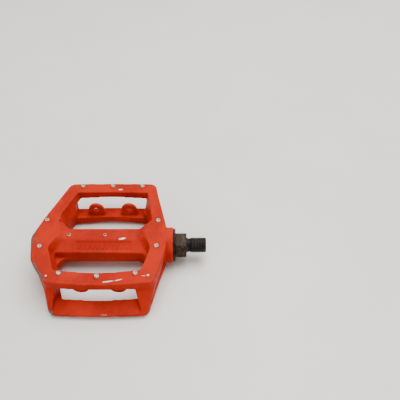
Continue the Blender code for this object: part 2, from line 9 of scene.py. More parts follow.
import bmesh
import bpy
import numpy as np
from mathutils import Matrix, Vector


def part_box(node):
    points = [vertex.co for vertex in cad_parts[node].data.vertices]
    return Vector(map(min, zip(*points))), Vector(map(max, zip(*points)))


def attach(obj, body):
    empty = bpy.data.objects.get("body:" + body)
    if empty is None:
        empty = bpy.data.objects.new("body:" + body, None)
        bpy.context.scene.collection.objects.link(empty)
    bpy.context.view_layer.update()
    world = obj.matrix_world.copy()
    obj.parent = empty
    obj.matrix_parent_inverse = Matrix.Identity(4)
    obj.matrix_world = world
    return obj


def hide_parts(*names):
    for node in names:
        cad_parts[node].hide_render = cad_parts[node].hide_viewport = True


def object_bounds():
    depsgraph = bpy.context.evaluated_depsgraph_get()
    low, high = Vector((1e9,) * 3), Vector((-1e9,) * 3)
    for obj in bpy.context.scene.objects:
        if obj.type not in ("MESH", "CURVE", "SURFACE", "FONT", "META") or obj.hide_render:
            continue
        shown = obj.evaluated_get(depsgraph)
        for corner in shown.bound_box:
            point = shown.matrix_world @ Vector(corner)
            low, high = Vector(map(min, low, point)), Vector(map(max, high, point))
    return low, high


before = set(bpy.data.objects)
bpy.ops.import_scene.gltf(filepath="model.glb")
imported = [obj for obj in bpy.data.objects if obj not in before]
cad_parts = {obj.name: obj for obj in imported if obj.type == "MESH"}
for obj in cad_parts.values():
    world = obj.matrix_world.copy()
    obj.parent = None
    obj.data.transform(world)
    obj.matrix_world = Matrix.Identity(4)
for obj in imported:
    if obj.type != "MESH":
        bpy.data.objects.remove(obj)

cad_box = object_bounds()

MM = 0.001
PEDAL_X = -12.0

# ---------------------------------------------------------------- sizes of the casting
FILLET_STEPS = 10
ROUND_SIDES = 96
HALF_HEIGHT = 14.0
LEAN_START = 6.0
LEAN_END = 10.0
EDGE_CHAMFER = 0.7
OUTLINE_LEVELS = (14.0, 13.3, 10.0, 6.0, 2.0, -2.0, -6.0, -10.0, -13.3, -14.0)
RAIL_DIP = 1.3
RAIL_DIP_REACH = 33.0
DIP_STEPS = 16

# Top outline: x, y, corner radius. Entries n and -n trade places when it is turned over.
TOP_OUTLINE = (
    (-58.4, -3.0, 12.0),
    (-53.5, -25.0, 12.0),
    (-38.5, -46.0, 6.0),
    (2.0, -48.6, 420.0),
    (42.6, -46.2, 5.0),
    (47.3, -27.0, 14.0),
    (50.5, -11.0, 4.0),
    (49.0, 10.6, 4.0),
    (43.6, 31.5, 60.0),
    (37.8, 58.0, 6.0),
    (0.0, 60.5, 400.0),
    (-37.3, 58.0, 6.0),
    (-52.3, 17.5, 14.0),
)
FRONT_ENTRIES = (1, 2, 3, 4, 5)
REAR_ENTRIES = (8, 9, 10, 11, 12)

REAR_WELL = (
    (-42.8, 12.0, 8.0),
    (38.2, 12.0, 5.0),
    (31.2, 47.2, 1.4),
    (0.0, 49.2, 200.0),
    (-29.8, 47.6, 1.4),
)
FRONT_WELL = (
    (-43.2, -11.2, 2.0),
    (-34.2, -34.7, 3.0),
    (0.0, -37.2, 200.0),
    (32.6, -34.4, 2.5),
    (38.4, -12.0, 5.0),
)
WELL_OVERLAP = 0.4
SIDE_DRAFT = 3.0
BARREL_DRAFT = 0.8

WINDOW_HALF_HEIGHT = 6.0
WINDOW_INNER_Y = -33.0
WINDOW_FLARE_Y = -40.0
WINDOW_BEND_Y = -48.7
WINDOW_OUTER_Y = -64.0
WINDOW_SLOPE = 0.41
WINDOW_INNER_X = (-31.7, 27.9)
WINDOW_OUTER_TOP_X = (-33.0, 30.3)
WINDOW_OUTER_BOTTOM_X = (-36.5, 35.3)
WINDOW_RADII = (0.8, 2.2)

# Upper section of the barrel: y, z, where it starts to rise and where it meets the top
BARREL_SECTION = (
    (-16.0, 2.9, 38.0, 39.6),
    (-11.5, 5.3, 38.0, 39.6),
    (-2.6, 9.9, 30.0, 37.5),
    (0.0, 10.5, 29.0, 36.5),
    (3.0, 10.7, 28.0, 35.5),
    (6.0, 10.3, 28.0, 35.5),
    (9.0, 8.6, 28.0, 36.5),
    (12.0, 6.3, 28.0, 38.0),
    (16.0, 3.6, 28.0, 39.6),
)
SADDLE_MIDDLE = -2.5
SADDLE_START = 28.0
SADDLE_END = 40.0
SADDLE_STEPS = 20
SADDLE_OVERSHOOT = 0.2
SECTION_STEPS = 4
CLEAR_HEIGHT = 18.0
CUT_REACH = 70.0
PANEL_X = (-23.0, 22.0)
PANEL_WIDTH = 8.2
PANEL_DEPTH = 0.5
PANEL_CUT = 2.0

# Side pockets: where each starts and ends, its heights there, and its depth. The floor and
# the mouth are shares of those heights.
POCKET_FLOOR = 0.8
POCKET_MOUTH = 1.15
INBOARD_POCKET = ((50.3, -15.5), (40.6, -52.0), (-8.6, 8.6), (-8.8, -4.6), 3.6)
OUTBOARD_POCKET = ((-57.4, -12.0), (-40.5, -49.0), (-8.0, 7.6), (-8.8, -4.0), 2.6)

LUG_X = 14.4
LUG_Y = 40.2
LUG_RADIUS = 6.8
LUG_FOOT = 8.8
LUG_THICKNESS = 3.0
LUG_HOLE_RADIUS = 2.7
LUG_ROOT = -7.0
LUG_WAIST = -4.2
LUG_FLARE = 1.4
LUG_SIDES = 24
LUG_HOLE_SIDES = 48

BOSS_ROOT = (44.0, 13.9)
BOSS_RADIUS = 14.5
BOSS_START = 50.5
BOSS_END = 55.5
BOSS_EDGE = 1.2
BOSS_EDGE_BREAK = 0.3
BORE_RADIUS = 6.2
CUP_SEAT_RADIUS = 10.2
INBOARD_SEAT_X = 45.0
OUTBOARD_SEAT_X = -39.7

VOXEL = 0.5
SOFTEN_FACTOR = 0.5
SOFTEN_PASSES = 7
KEEP_SHARE = 0.42
BEND_PASSES = 3

# ---------------------------------------------------------------- sizes of the small parts
PIN_SIDES = 32
PIN_EDGE = 0.35
PIN_PITCH = 0.7
PIN_GROOVE = 0.2
PIN_GROOVE_SHARPNESS = 1.5
PIN_ROWS_PER_TURN = 8
PIN_RIM_TURNS = (0.35, 0.7, 1.0)
PIN_SHOWN = 3.4
PIN_SOCKET_FLATS = 1.8
PIN_SOCKET_DEPTH = 1.2
PIN_SOCKET_RIM = 0.18
PIN_SOCKET_BEVEL = 0.14
PIN_SOCKET_TIP = 0.3
PIN_SOCKET_TIP_RADIUS = 0.15
PIN_MARGIN = 0.02
PIN_TURN = 0.7

HEX_ACROSS_FLATS = 18.96
HEX_START = 56.8
HEX_END = 65.8
HEX_CORNER_ELEVATION = 47.5
HEX_CORNER_CUT = 0.12
HEX_FACE_LOSS = 0.2
# Eased ends of the hexagon: distance from the end face, reach past the flats
HEX_EASE = ((0.0, 0.7), (0.1, 0.9), (0.3, 1.2))
HEX_STATIONS = (0.1, 0.3, 0.5, 0.7, 0.9)
SHOULDER_RADIUS = 7.5
# Hidden part of the spindle: x, radius, from the stud's tip to the shoulder
HIDDEN_ROWS = (
    (-53.2, 3.2),
    (-52.7, 3.8),
    (-40.0, 3.8),
    (-39.0, 4.8),
    (48.8, 4.8),
    (49.9, 5.0),
    (50.5, 6.2),
    (50.5, SHOULDER_RADIUS),
)
NECK_RADIUS = 5.6
# Collar between the hexagon and the neck: distance past the hexagon, radius
COLLAR_ROWS = ((0.0, 6.5), (0.35, 6.05), (1.0, 5.7), (1.2, NECK_RADIUS))
THREAD_RADIUS = 6.33
THREAD_START = 68.6
THREAD_END = 81.98
THREAD_PITCH = 1.27
THREAD_DEPTH = 0.62
THREAD_FLANK = 2.6
THREAD_ROOT = 0.6
THREAD_CHAMFER = 0.9
THREAD_LEAD_OUT = 1.0
THREAD_RELIEF = 0.4
THREAD_STEPS = 10
CENTRE_HOLE_RADIUS = 1.6
CENTRE_HOLE_DEPTH = 1.2
CENTRE_HOLE_TIP = 0.3
SPINDLE_SIDES = 96

# Seal ring: x, radius, up its back, then down its grooved face. Its rim is an arc.
SEAL_BACK = ((53.05, 8.1), (53.05, 9.8), (55.82, 9.8), (55.82, 13.3), (56.0, 13.55))
SEAL_RIM_MIDDLE = (56.18, 13.25)
SEAL_RIM_RADIUS = 0.3
SEAL_RIM_STEPS = 7
SEAL_FACE = ((56.48, 12.3), (56.25, 12.0), (56.25, 11.3), (56.48, 11.0), (56.48, 8.1))

# Dust cap: its key recess, its face, its knurled rim, then its skirt and hollow inside
CAP_CENTRE_RADIUS = 0.4
CAP_RECESS_FLATS = 6.0
CAP_RECESS_X = (-55.0, -55.62)
CAP_FACE = ((-55.72, 4.2), (-55.72, 8.9), (-55.6, 9.2))
CAP_SKIRT = ((-54.1, 9.85), (-52.5, 9.85), (-52.5, 8.75), (-54.3, 8.75), (-54.3, 0.4))
CAP_SIDES = 144
KNURL_X = (-55.3, -54.2)
KNURL_RADIUS = 9.62
KNURL_DEPTH = 0.16
KNURL_COUNT = 24

PANEL_RIBS = 11
PANEL_RIB_MARGIN = 3.2
PANEL_RIB_WIDTH = 1.5
PANEL_RIB_REACH = 2.3
PANEL_RIB_SLANT = 0.9
# Rows of a rib: height over the panel's floor, growth of its outline
PANEL_RIB_ROWS = ((-0.35, 0.12), (0.20, 0.0), (0.34, -0.16))


# ================================================================ shape functions
def rounded(corners, steps=FILLET_STEPS):
    """Closed outline through corners (u, v, radius), with an arc at each corner."""
    outline = []
    for index, (u, v, radius) in enumerate(corners):
        corner = Vector((u, v))
        to_last = (Vector(corners[index - 1][:2]) - corner).normalized()
        to_next = (Vector(corners[(index + 1) % len(corners)][:2]) - corner).normalized()
        half = to_last.angle(to_next) / 2
        reach = radius / math.tan(half)
        centre = corner + (to_last + to_next).normalized() * (radius / math.sin(half))
        first = corner + to_last * reach - centre
        last = corner + to_next * reach - centre
        turn = first.angle(last)
        for step in range(steps + 1):
            part = step / steps
            spoke = first * math.sin((1 - part) * turn) + last * math.sin(part * turn)
            outline.append(tuple(centre + spoke / math.sin(turn)))
    return outline


def loft(loops):
    """Points and faces of a closed body through loops that have the same number of points."""
    count = len(loops[0])
    points = [point for loop in loops for point in loop]
    faces = [tuple(range(count)), tuple(range(len(points) - count, len(points)))]
    for level in range(len(loops) - 1):
        for here in range(count):
            after = (here + 1) % count
            low = level * count
            high = low + count
            faces.append((low + here, low + after, high + after, high + here))
    return points, faces


def ring(profile, sides=ROUND_SIDES):
    """A body turned about X from a closed profile of (x, radius) that stays off the axis."""
    points = []
    faces = []
    count = len(profile)
    for side in range(sides):
        angle = 2 * math.pi * side / sides
        points += [(x, r * math.cos(angle), r * math.sin(angle)) for x, r in profile]
    for side in range(sides):
        here = side * count
        after = (side + 1) % sides * count
        for index in range(count):
            following = (index + 1) % count
            faces.append((here + index, here + following, after + following, after + index))
    return points, faces


def turned(profile, sides=ROUND_SIDES, start=0.0):
    """A body turned about X from (x, radius) points, closed by flat ends.

    A radius may be a function of the angle about X."""
    loops = []
    for x, radius in profile:
        loop = []
        for side in range(sides):
            angle = start + 2 * math.pi * side / sides
            reach = radius(angle) if callable(radius) else radius
            loop.append((x, reach * math.cos(angle), reach * math.sin(angle)))
        loops.append(loop)
    return loft(loops)


def turned_over(shape):
    """The same body after half a turn about the spindle axis."""
    points, faces = shape
    return [(x, -y, -z) for x, y, z in points], faces


def make_object(name, shapes, split_angle=35.0):
    """An object in the row frame from closed bodies given in the cage's millimetres."""
    bm = bmesh.new()
    for points, faces in shapes:
        made = [bm.verts.new(((x + PEDAL_X) * MM, y * MM, z * MM)) for x, y, z in points]
        for face in faces:
            bm.faces.new([made[index] for index in face])
    bmesh.ops.recalc_face_normals(bm, faces=bm.faces)
    mesh = bpy.data.meshes.new(name)
    bm.to_mesh(mesh)
    bm.free()
    mesh.shade_smooth()
    mesh.set_sharp_from_angle(angle=math.radians(split_angle))
    made_object = bpy.data.objects.new(name, mesh)
    bpy.context.scene.collection.objects.link(made_object)
    return made_object


def apply_modifiers(target):
    """Keep the mesh that the modifiers make, without the modifiers."""
    graph = bpy.context.evaluated_depsgraph_get()
    result = bpy.data.meshes.new_from_object(target.evaluated_get(graph))
    target.modifiers.clear()
    old = target.data
    target.data = result
    bpy.data.meshes.remove(old)


def combine(target, shapes, operation):
    """Add shapes to the target or cut them out of it."""
    helper = make_object("helper", shapes)
    modifier = target.modifiers.new("combine", 'BOOLEAN')
    modifier.operation = operation
    modifier.object = helper
    modifier.solver = 'EXACT'
    apply_modifiers(target)
    bpy.data.objects.remove(helper, do_unlink=True)


def share(value, low, high):
    """How far value has come from low to high, kept between 0 and 1."""
    return min(max((value - low) / (high - low), 0.0), 1.0)


def mix(first, last, part_way):
    """The value part of the way from first to last."""
    return first + (last - first) * part_way


def eased(value):
    """A share that starts and ends softly."""
    return value * value * (3 - 2 * value)


# ================================================================ the casting
def outline_at(height):
    """The cage's outline at a height: the top outline turning into the turned-over one."""
    corners = []
    inset = EDGE_CHAMFER if abs(height) == HALF_HEIGHT else 0.0
    for index, (x, y, radius) in enumerate(TOP_OUTLINE):
        twin_x, twin_y, twin_radius = TOP_OUTLINE[-index]
        low = -HALF_HEIGHT
        high = HALF_HEIGHT
        if index in FRONT_ENTRIES:
            low, high = -LEAN_END, LEAN_START
        if index in REAR_ENTRIES:
            low, high = -LEAN_START, LEAN_END
        top = share(height, low, high)
        blend_x = mix(twin_x, x, top)
        blend_y = mix(-twin_y, y, top)
        blend_radius = mix(twin_radius, radius, top)
        pull = 1 - inset / math.hypot(blend_x, blend_y)
        corners.append((blend_x * pull, blend_y * pull, blend_radius))
    return rounded(corners)


def cage_blank():
    """The cage's outer shape, before anything is cut from it."""
    return loft([[(x, y, height) for x, y in outline_at(height)] for height in OUTLINE_LEVELS])


def rail_dip():
    """What is cut off the top face so that the rails' middles lie a little lower."""
    radius = (RAIL_DIP_REACH ** 2 + RAIL_DIP ** 2) / (2 * RAIL_DIP)
    stations = [RAIL_DIP_REACH * step / DIP_STEPS for step in range(-DIP_STEPS, DIP_STEPS + 1)]
    level = HALF_HEIGHT + math.sqrt(radius ** 2 - RAIL_DIP_REACH ** 2)
    arc = [(x, level - math.sqrt(radius ** 2 - x ** 2)) for x in stations]
    section = arc + [(RAIL_DIP_REACH, CLEAR_HEIGHT), (-RAIL_DIP_REACH, CLEAR_HEIGHT)]
    return loft([[(x, y, z) for x, z in section] for y in (-CUT_REACH, CUT_REACH)])


def curve_through(points, steps):
    """Points on a smooth curve through the given points (Catmull-Rom)."""
    ends = [points[0]] + list(points) + [points[-1]]
    curve = []
    for index in range(1, len(ends) - 2):
        before, here, after, beyond = (np.array(ends[index + k], float) for k in (-1, 0, 1, 2))
        for step in range(steps):
            t = step / steps
            curve.append(tuple(0.5 * (2 * here + (after - before) * t
                                      + (2 * before - 5 * here + 4 * after - beyond) * t ** 2
                                      + (3 * here - before - 3 * after + beyond) * t ** 3)))
    curve.append(tuple(points[-1]))
    return curve


def saddle():
    """What is cut off above the barrel, with ends that slope up to the end blocks."""
    spacing = (SADDLE_END - SADDLE_START) / SADDLE_STEPS
    rising = [SADDLE_START + spacing * step for step in range(SADDLE_STEPS + 1)]
    stations = [SADDLE_MIDDLE - reach for reach in reversed(rising)]
    stations += [SADDLE_MIDDLE + reach for reach in rising]
    section = curve_through(BARREL_SECTION, SECTION_STEPS)
    loops = []
    for x in stations:
        loop = []
        for y, z, start, end in section:
            rise = eased(share(abs(x - SADDLE_MIDDLE), start, end))
            loop.append((x, y, z + (HALF_HEIGHT + SADDLE_OVERSHOOT - z) * rise))
        loop.append((x, section[-1][0], CLEAR_HEIGHT))
        loop.append((x, section[0][0], CLEAR_HEIGHT))
        loops.append(loop)
    return loft(loops)


def drafted(well):
    """A well's outline at mid height, where the side walls and the barrel are thicker."""
    corners = []
    for x, y, radius in well:
        side = math.copysign(SIDE_DRAFT, x) if x else 0.0
        at_barrel = math.copysign(BARREL_DRAFT, y) if abs(y) < LUG_Y / 2 else 0.0
        corners.append((x - side, y + at_barrel, radius))
    return corners


def upper_well(well):
    """The upper half of a well, narrowing towards mid height."""
    top = rounded(well)
    waist = rounded(drafted(well))
    levels = ((waist, -WELL_OVERLAP), (top, HALF_HEIGHT), (top, CLEAR_HEIGHT))
    return loft([[(x, y, z) for x, y in outline] for outline, z in levels])


def window():
    """The opening between the front rails, wider towards the outside."""
    loops = []
    for y in (WINDOW_INNER_Y, WINDOW_FLARE_Y, WINDOW_BEND_Y, WINDOW_OUTER_Y):
        flare = share(y, WINDOW_FLARE_Y, WINDOW_OUTER_Y)
        floor = -WINDOW_HALF_HEIGHT - WINDOW_SLOPE * max(WINDOW_BEND_Y - y, 0.0)
        radius = mix(*WINDOW_RADII, flare)
        top_x = [mix(*pair, flare) for pair in zip(WINDOW_INNER_X, WINDOW_OUTER_TOP_X)]
        bottom_x = [mix(*pair, flare) for pair in zip(WINDOW_INNER_X, WINDOW_OUTER_BOTTOM_X)]
        section = rounded((
            (bottom_x[0], floor, radius),
            (bottom_x[1], floor, radius),
            (top_x[1], WINDOW_HALF_HEIGHT, radius),
            (top_x[0], WINDOW_HALF_HEIGHT, radius),
        ))
        loops.append([(x, y, z) for x, z in section])
    return loft(loops)


def side_pocket(start, end, start_heights, end_heights, depth):
    """The hollow in an outer side wall, between its upper and lower flange."""
    along = Vector(end) - Vector(start)
    outward = Vector((-along.y, along.x)).normalized()
    if outward.x * start[0] < 0:
        outward.negate()
    loops = []
    for reach, shrink in ((-depth, POCKET_FLOOR), (depth, POCKET_MOUTH)):
        loop = []
        for corner, heights in ((start, start_heights), (end, end_heights)):
            middle = sum(heights) / 2
            half = (heights[1] - heights[0]) / 2 * shrink
            x, y = Vector(corner) + outward * reach
            loop.append(((x, y, middle - half), (x, y, middle + half)))
        loops.append([loop[0][0], loop[0][1], loop[1][1], loop[1][0]])
    return loft(loops)


def panel_axes():
    """Middle, direction up the slope and outward direction of the barrel panel, as (y, z)."""
    front = Vector(BARREL_SECTION[1][:2])
    ridge = Vector(BARREL_SECTION[2][:2])
    slope = (ridge - front).normalized()
    return (front + ridge) / 2, slope, Vector((-slope.y, slope.x))


def panel_block(x_range, across, out):
    """A block on the barrel panel: ranges along X, up the slope and out of it."""
    middle, slope, outward = panel_axes()
    inner = [middle + slope * here + outward * out[0] for here in across]
    outer = [middle + slope * here + outward * out[1] for here in reversed(across)]
    section = inner + outer
    return loft([[(x, y, z) for y, z in section] for x in x_range])


def lug(side):
    """A round-topped reflector lug that stands up from the lower rear rail."""
    outline = [(LUG_FOOT, LUG_ROOT), (LUG_FOOT - LUG_FLARE, LUG_WAIST)]
    for step in range(LUG_SIDES + 1):
        angle = math.pi * step / LUG_SIDES
        outline.append((LUG_RADIUS * math.cos(angle), LUG_RADIUS * math.sin(angle)))
    outline += [(LUG_FLARE - LUG_FOOT, LUG_WAIST), (-LUG_FOOT, LUG_ROOT)]
    front = LUG_Y - LUG_THICKNESS / 2
    faces = (front, front + LUG_THICKNESS)
    return loft([[(side * LUG_X + x, y, z) for x, z in outline] for y in faces])


def lug_hole(side):
    """The screw hole through a lug."""
    circle = []
    for step in range(LUG_HOLE_SIDES):
        angle = 2 * math.pi * step / LUG_HOLE_SIDES
        along = side * LUG_X + LUG_HOLE_RADIUS * math.cos(angle)
        circle.append((along, LUG_HOLE_RADIUS * math.sin(angle)))
    ends = (LUG_Y - LUG_THICKNESS, LUG_Y + LUG_THICKNESS)
    return loft([[(x, y, z) for x, z in circle] for y in ends])


def bore():
    """The spindle bore with its two cup seats."""
    return turned([(-CUT_REACH, CUP_SEAT_RADIUS), (OUTBOARD_SEAT_X, CUP_SEAT_RADIUS),
                   (OUTBOARD_SEAT_X, BORE_RADIUS), (INBOARD_SEAT_X, BORE_RADIUS),
                   (INBOARD_SEAT_X, CUP_SEAT_RADIUS), (CUT_REACH, CUP_SEAT_RADIUS)])


def boss():
    """The round boss that carries the inboard bearing."""
    eased_edge = BOSS_EDGE * BOSS_EDGE_BREAK
    return turned([BOSS_ROOT, (BOSS_START, BOSS_RADIUS), (BOSS_END - BOSS_EDGE, BOSS_RADIUS),
                   (BOSS_END - eased_edge, BOSS_RADIUS - eased_edge),
                   (BOSS_END, BOSS_RADIUS - BOSS_EDGE)])


def both_ways(shapes):
    """The shapes and their turned-over twins."""
    return shapes + [turned_over(shape) for shape in shapes]


def soften(cage):
    """Turn the sharp-edged body into an even skin with the round edges of a casting."""
    remesh = cage.modifiers.new("skin", 'REMESH')
    remesh.mode = 'VOXEL'
    remesh.voxel_size = VOXEL * MM
    remesh.use_smooth_shade = True
    smooth = cage.modifiers.new("soften", 'SMOOTH')
    smooth.factor = SOFTEN_FACTOR
    smooth.iterations = SOFTEN_PASSES
    thin = cage.modifiers.new("thin", 'DECIMATE')
    thin.ratio = KEEP_SHARE
    apply_modifiers(cage)
    cage.data.shade_smooth()


def keep_inside(casting, node):
    """Move the points that stick out of a frame part's box onto its sides."""
    low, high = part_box(node)
    places = np.zeros(len(casting.data.vertices) * 3)
    casting.data.vertices.foreach_get("co", places)
    inside = np.clip(places.reshape(-1, 3), low, high)
    casting.data.vertices.foreach_set("co", inside.ravel())
    casting.data.update()


def edge_attribute(cage):
    """Store how sharply the skin bends outward at each point, averaged over its neighbours."""
    mesh = cage.data
    count = len(mesh.vertices)
    place = np.zeros(count * 3)
    normal = np.zeros(count * 3)
    pairs = np.zeros(len(mesh.edges) * 2, int)
    mesh.vertices.foreach_get("co", place)
    mesh.vertices.foreach_get("normal", normal)
    mesh.edges.foreach_get("vertices", pairs)
    place = place.reshape(-1, 3)
    normal = normal.reshape(-1, 3)
    first, second = pairs.reshape(-1, 2).T
    step = place[second] - place[first]
    length = np.linalg.norm(step, axis=1) + 1e-9
    bend = ((normal[second] - normal[first]) * step).sum(1) / length ** 2
    valence = np.bincount(first, minlength=count) + np.bincount(second, minlength=count)
    value = np.bincount(first, bend, count) + np.bincount(second, bend, count)
    value /= np.maximum(valence, 1)
    for _ in range(BEND_PASSES):
        total = np.bincount(first, value[second], count) + np.bincount(second, value[first], count)
        value = 0.5 * value + 0.5 * total / np.maximum(valence, 1)
    value *= MM
    attribute = mesh.attributes.new("edge_bend", 'FLOAT', 'POINT')
    attribute.data.foreach_set("value", value.astype(np.float32))


def make_cage():
    """The painted casting."""
    cage = make_object("cage_casting", [cage_blank()])
    wells = [upper_well(REAR_WELL), upper_well(FRONT_WELL)]
    combine(cage, both_ways([rail_dip()]), 'DIFFERENCE')
    combine(cage, both_ways([saddle()]), 'DIFFERENCE')
    combine(cage, wells, 'DIFFERENCE')
    combine(cage, [turned_over(well) for well in wells], 'DIFFERENCE')
    combine(cage, both_ways([window()]), 'DIFFERENCE')
    pockets = [side_pocket(*INBOARD_POCKET), side_pocket(*OUTBOARD_POCKET)]
    combine(cage, both_ways(pockets), 'DIFFERENCE')
    panel = panel_block(PANEL_X, (-PANEL_WIDTH / 2, PANEL_WIDTH / 2), (-PANEL_DEPTH, PANEL_CUT))
    combine(cage, both_ways([panel]), 'DIFFERENCE')
    combine(cage, [boss()], 'UNION')
    combine(cage, both_ways([lug(-1), lug(1)]), 'UNION')
    combine(cage, [bore()], 'DIFFERENCE')
    combine(cage, both_ways([lug_hole(-1), lug_hole(1)]), 'DIFFERENCE')
    soften(cage)
    keep_inside(cage, "pedal_cage")
    edge_attribute(cage)
    return cage


# ================================================================ the small parts
def hexagon(across_flats, corner, limit):
    """The radius of a hexagon at an angle, cut back to a largest radius."""
    def radius(angle):
        from_flat = (angle - corner) % (math.pi / 3) - math.pi / 6
        return min(across_flats / 2 / math.cos(from_flat), limit)
    return radius


def pin_shape(radius, corner):
    """A grub screw's shown end, with thread, eased rim and hexagon socket. Its tip is z = 0."""
    def thread(angle, z):
        along = (z / PIN_PITCH + angle / (2 * math.pi)) % 1.0
        fade = share(-z, PIN_EDGE, PIN_EDGE + PIN_PITCH / 2)
        hollow = (0.5 + 0.5 * math.cos(2 * math.pi * along)) ** PIN_GROOVE_SHARPNESS
        return radius - PIN_GROOVE * fade * hollow

    socket = hexagon(PIN_SOCKET_FLATS, corner, radius)
    rows = []
    steps = int(PIN_SHOWN / PIN_PITCH * PIN_ROWS_PER_TURN)
    for step in range(steps + 1):
        z = -PIN_SHOWN + (PIN_SHOWN - PIN_EDGE) * step / steps
        rows.append([(thread(a, z), z) for a in pin_angles()])
    for turn in PIN_RIM_TURNS:
        bend = turn * math.pi / 2
        reach = radius - PIN_EDGE * (1 - math.cos(bend))
        rows.append([(reach, -PIN_EDGE * (1 - math.sin(bend))) for _ in pin_angles()])
    rows.append([(socket(a) + PIN_SOCKET_RIM, 0.0) for a in pin_angles()])
    rows.append([(socket(a), -PIN_SOCKET_BEVEL) for a in pin_angles()])
    rows.append([(socket(a), -PIN_SOCKET_DEPTH) for a in pin_angles()])
    tip = -PIN_SOCKET_DEPTH - PIN_SOCKET_TIP
    rows.append([(PIN_SOCKET_TIP_RADIUS, tip) for _ in pin_angles()])
    loops = []
    for row in rows:
        loops.append([(r * math.cos(a), r * math.sin(a), z) for (r, z), a in zip(row, pin_angles())])
    return loft(loops)


def pin_angles():
    """Directions of the points round a pin."""
    return [2 * math.pi * side / PIN_SIDES for side in range(PIN_SIDES)]


def make_pins():
    """A detailed grub screw in place of each pin of the frame."""
    pins = []
    names = sorted(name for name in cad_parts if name.startswith("pin_"))
    for number, name in enumerate(names):
        low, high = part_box(name)
        radius = (high.x - low.x) / 2 / MM - PIN_MARGIN
        points, faces = pin_shape(radius, corner=number * PIN_TURN)
        middle = (low + high) / 2 / MM
        if name.startswith("pin_top"):
            points = [(x + middle.x - PEDAL_X, y + middle.y, z + high.z / MM) for x, y, z in points]
        else:
            points = [(x + middle.x - PEDAL_X, middle.y - y, low.z / MM - z) for x, y, z in points]
        pin = make_object(f"screw_{name}", [(points, faces)], split_angle=40.0)
        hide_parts(name)
        pins.append(pin)
    return pins


def hexagon_rows(corner):
    """Rows (x, radius function) along the hexagon, with its corners eased at both ends."""
    flats = HEX_ACROSS_FLATS / 2
    start_rows = []
    end_rows = []
    for inset, reach in HEX_EASE:
        across = HEX_ACROSS_FLATS - HEX_FACE_LOSS + inset / 2
        section = hexagon(across, corner, flats + reach)
        start_rows.append((HEX_START + inset, section))
        end_rows.append((HEX_END - inset, section))
    full = hexagon(HEX_ACROSS_FLATS, corner, flats / math.cos(math.pi / 6) - HEX_CORNER_CUT)
    middle_rows = [(mix(HEX_START, HEX_END, part_way), full) for part_way in HEX_STATIONS]
    return start_rows + middle_rows + list(reversed(end_rows))


def spindle_rows(corner):
    """Rows (x, radius or its function) of the spindle, from the stud to the crank thread."""
    rows = list(HIDDEN_ROWS) + [(HEX_START, SHOULDER_RADIUS)]
    rows += hexagon_rows(corner)
    rows += [(HEX_END + past, radius) for past, radius in COLLAR_ROWS]
    rows.append((THREAD_START - THREAD_RELIEF, NECK_RADIUS))
    steps = int((THREAD_END - THREAD_START) / THREAD_PITCH * THREAD_STEPS)
    for step in range(steps + 1):
        rows.append((mix(THREAD_START, THREAD_END, step / steps), crank_thread(step / steps)))
    rows.append((THREAD_END, CENTRE_HOLE_RADIUS))
    rows.append((THREAD_END - CENTRE_HOLE_DEPTH, CENTRE_HOLE_TIP))
    return rows


def crank_thread(part_way):
    """The radius function of the left-hand crank thread, part of the way along it."""
    x = mix(THREAD_START, THREAD_END, part_way)
    run_in = share(x, THREAD_START, THREAD_START + THREAD_PITCH)
    lead_out = share(THREAD_END - x, 0.0, THREAD_LEAD_OUT)

    def radius(angle):
        along = (x / THREAD_PITCH + angle / (2 * math.pi)) % 1.0
        flank = abs(2 * along - 1)
        height = min(max(flank * THREAD_FLANK - THREAD_ROOT, 0.0), 1.0)
        crest = mix(THREAD_RADIUS - THREAD_CHAMFER, THREAD_RADIUS, lead_out)
        root = THREAD_RADIUS - THREAD_DEPTH
        cut = min(mix(root, crest, height), crest) if crest > root else crest
        return mix(NECK_RADIUS, cut, run_in)
    return radius


def make_spindle():
    """The spindle, with its hexagon and cut thread."""
    corner = math.pi - math.radians(HEX_CORNER_ELEVATION)
    body = turned(spindle_rows(corner), SPINDLE_SIDES, start=corner)
    spindle = make_object("spindle_turned", [body], split_angle=30.0)
    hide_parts("spindle")
    return spindle


def make_seal():
    """The seal ring, with a rounded outer edge and a shallow groove in its face."""
    x, radius = SEAL_RIM_MIDDLE
    rim = [(x + SEAL_RIM_RADIUS * math.cos(a), radius + SEAL_RIM_RADIUS * math.sin(a))
           for a in np.linspace(math.pi / 2, 0, SEAL_RIM_STEPS)]
    profile = list(SEAL_BACK) + rim + list(SEAL_FACE)
    seal = make_object("seal_ring", [ring(profile)], split_angle=40.0)
    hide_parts("inboard_seal")
    return seal


def make_dust_cap():
    """The dust cap, with a knurled rim and a hexagonal key recess."""
    def knurl(angle):
        return KNURL_RADIUS + KNURL_DEPTH * math.cos(KNURL_COUNT * angle)

    recess = hexagon(CAP_RECESS_FLATS, 0.0, CAP_RECESS_FLATS)
    rows = [(CAP_RECESS_X[0], CAP_CENTRE_RADIUS)]
    rows += [(x, recess) for x in CAP_RECESS_X]
    rows += CAP_FACE
    rows += [(x, knurl) for x in KNURL_X]
    rows += CAP_SKIRT
    cap = make_object("dust_cap_turned", [turned(rows, CAP_SIDES)], split_angle=30.0)
    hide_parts("dust_cap")
    return cap


def panel_rib(x):
    """One slanted raised rib on the barrel panel."""
    middle, slope, outward = panel_axes()
    loops = []
    for out, grow in PANEL_RIB_ROWS:
        half = PANEL_RIB_WIDTH / 2 + grow
        reach = PANEL_RIB_REACH + grow
        loop = []
        for across, along in ((-1, -1), (-1, 1), (1, 1), (1, -1)):
            point = middle + slope * reach * along + outward * (out - PANEL_DEPTH)
            loop.append((x + half * across + PANEL_RIB_SLANT * along, point.x, point.y))
        loops.append(loop)
    return loft(loops)


